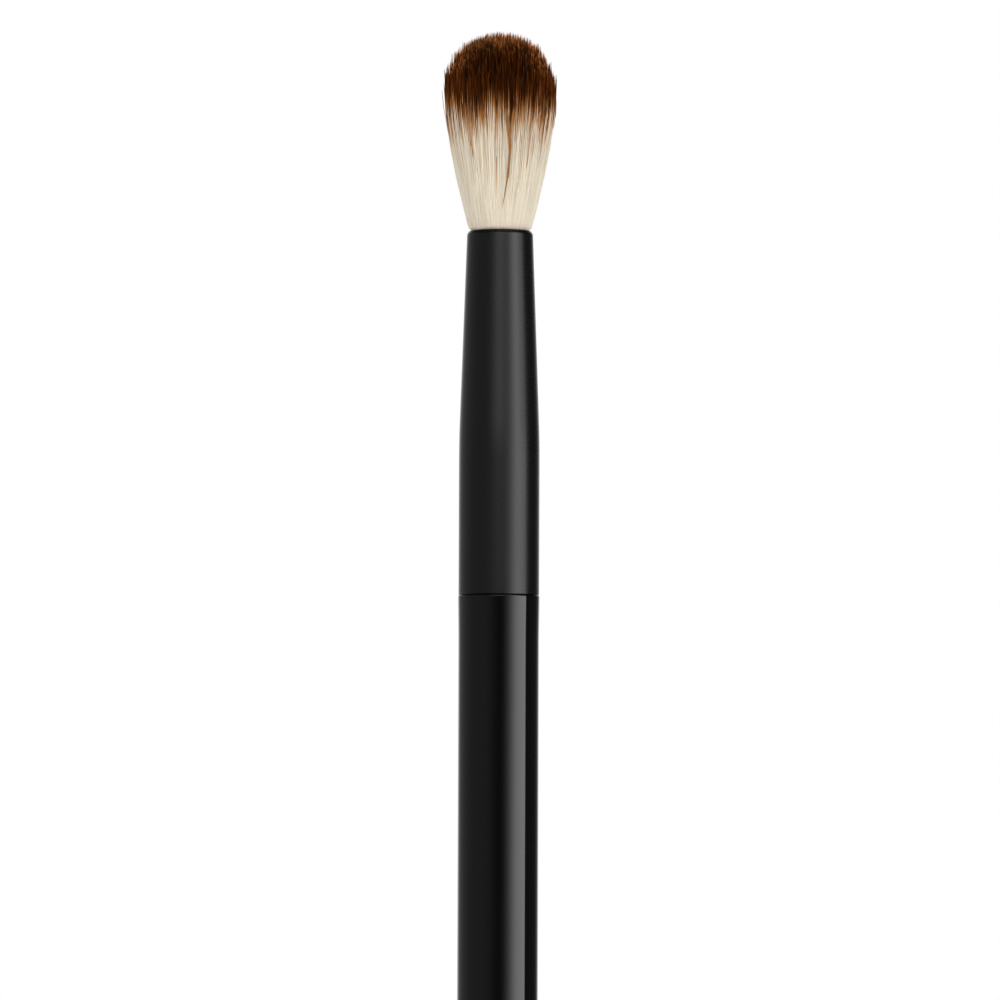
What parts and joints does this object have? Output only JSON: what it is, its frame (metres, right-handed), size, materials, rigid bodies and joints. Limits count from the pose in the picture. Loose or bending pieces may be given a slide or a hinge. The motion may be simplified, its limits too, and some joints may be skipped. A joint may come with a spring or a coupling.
{
  "type": "eyeshadow brush",
  "caption": "Round domed blending brush for eyeshadow: soft flared bristles bound and glued in a tapering metal ferrule on a long, slim turned handle.",
  "frame": {"origin": "on the brush's axis, at the middle of the handle's straight grip", "axes": "+Z along the brush towards the bristles; X and Y are alike, because the brush is round"},
  "size_m": [0.0112, 0.011, 0.1699],
  "materials": {
    "handle_lacquer": "turned wood under high-gloss black lacquer",
    "ferrule_black": "drawn tube, satin black",
    "set_glue": "set epoxy adhesive",
    "thread": "twisted cotton",
    "bristle": "fine tapered filament, cream with dyed brown tips"
  },
  "bodies": {
    "root": {"handle": "handle_lacquer", "ferrule": "ferrule_black", "tenon_glue": "set_glue", "root_glue_plug": "set_glue", "binding_thread": "thread", "core_bristles": "bristle", "middle_bristles": "bristle", "outer_bristles": "bristle"}
  },
  "joints": []
}
